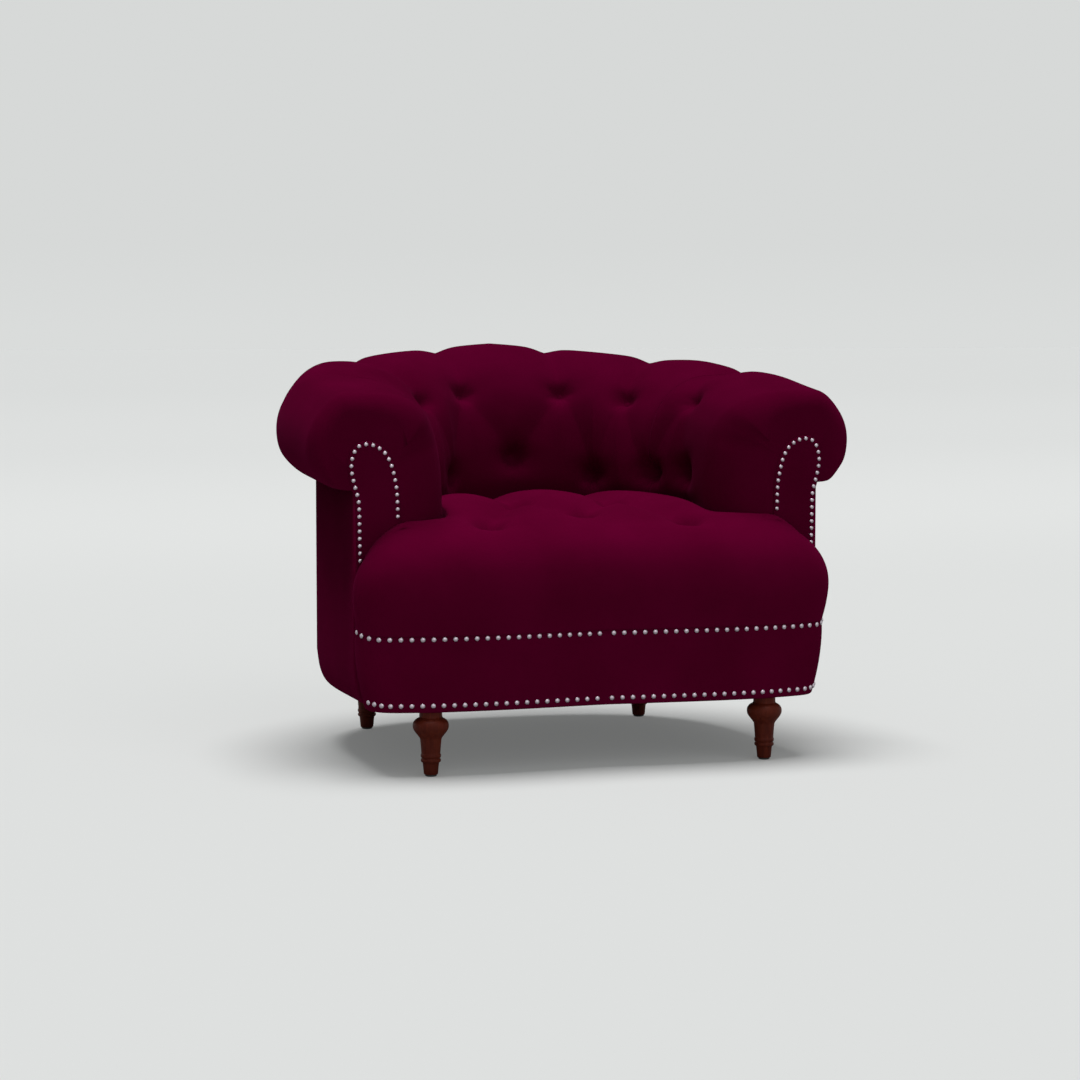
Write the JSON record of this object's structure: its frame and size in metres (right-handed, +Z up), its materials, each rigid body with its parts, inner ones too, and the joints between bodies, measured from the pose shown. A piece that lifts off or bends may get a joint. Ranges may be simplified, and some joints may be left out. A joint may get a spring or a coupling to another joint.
{
  "type": "chesterfield armchair",
  "caption": "Low chesterfield armchair: deep-tufted horseshoe back and rolled arms in velvet, tight tufted seat, nail-trimmed front border and facings, turned wooden legs",
  "frame": {"origin": "centre of the bounding box in plan, at floor level", "axes": "+X across the width, to the right as seen from the front; +Y to the rear; +Z up"},
  "size_m": [1.0196, 0.819, 0.7456],
  "materials": {
    "velvet": "burgundy cut velvet with a soft sheen",
    "frame_wood": "plain sawn hardwood and ply",
    "leg_wood": "satin red-brown mahogany stain",
    "nail_trim": "soft pewter nail heads",
    "steel": "plain spring steel",
    "padding_felt": "pressed felt",
    "dust_cloth": "black non-woven cloth",
    "glide": "moulded nylon"
  },
  "bodies": {
    "root": {"seat_cushion": "velvet", "back_pad": "velvet", "arm_pad_left": "velvet", "arm_facing_left": "velvet", "arm_nails_left": "nail_trim", "arm_pad_right": "velvet", "arm_facing_right": "velvet", "arm_nails_right": "nail_trim", "outside_back_panel": "velvet", "outside_arm_panel_left": "velvet", "outside_arm_panel_right": "velvet", "front_border": "velvet", "nail_row_upper": "nail_trim", "nail_row_lower": "nail_trim", "rear_rail": "frame_wood", "top_back_rail": "frame_wood", "side_rail_left": "frame_wood", "arm_rail_left": "frame_wood", "arm_post_left": "frame_wood", "back_upright_left": "frame_wood", "side_rail_right": "frame_wood", "arm_rail_right": "frame_wood", "arm_post_right": "frame_wood", "back_upright_right": "frame_wood", "front_rail": "frame_wood", "seat_spring_1": "steel", "seat_spring_2": "steel", "seat_spring_3": "steel", "seat_spring_4": "steel", "seat_spring_5": "steel", "spring_clip_strip_front": "steel", "spring_clip_strip_rear": "steel", "spring_mat": "padding_felt", "dust_cover": "dust_cloth", "leg_front_left": "leg_wood", "leg_bolt_front_left": "steel", "glide_front_left": "glide", "corner_block_front_left": "frame_wood", "leg_front_right": "leg_wood", "leg_bolt_front_right": "steel", "glide_front_right": "glide", "corner_block_front_right": "frame_wood", "leg_rear_left": "leg_wood", "leg_bolt_rear_left": "steel", "glide_rear_left": "glide", "corner_block_rear_left": "frame_wood", "leg_rear_right": "leg_wood", "leg_bolt_rear_right": "steel", "glide_rear_right": "glide", "corner_block_rear_right": "frame_wood"}
  },
  "joints": []
}
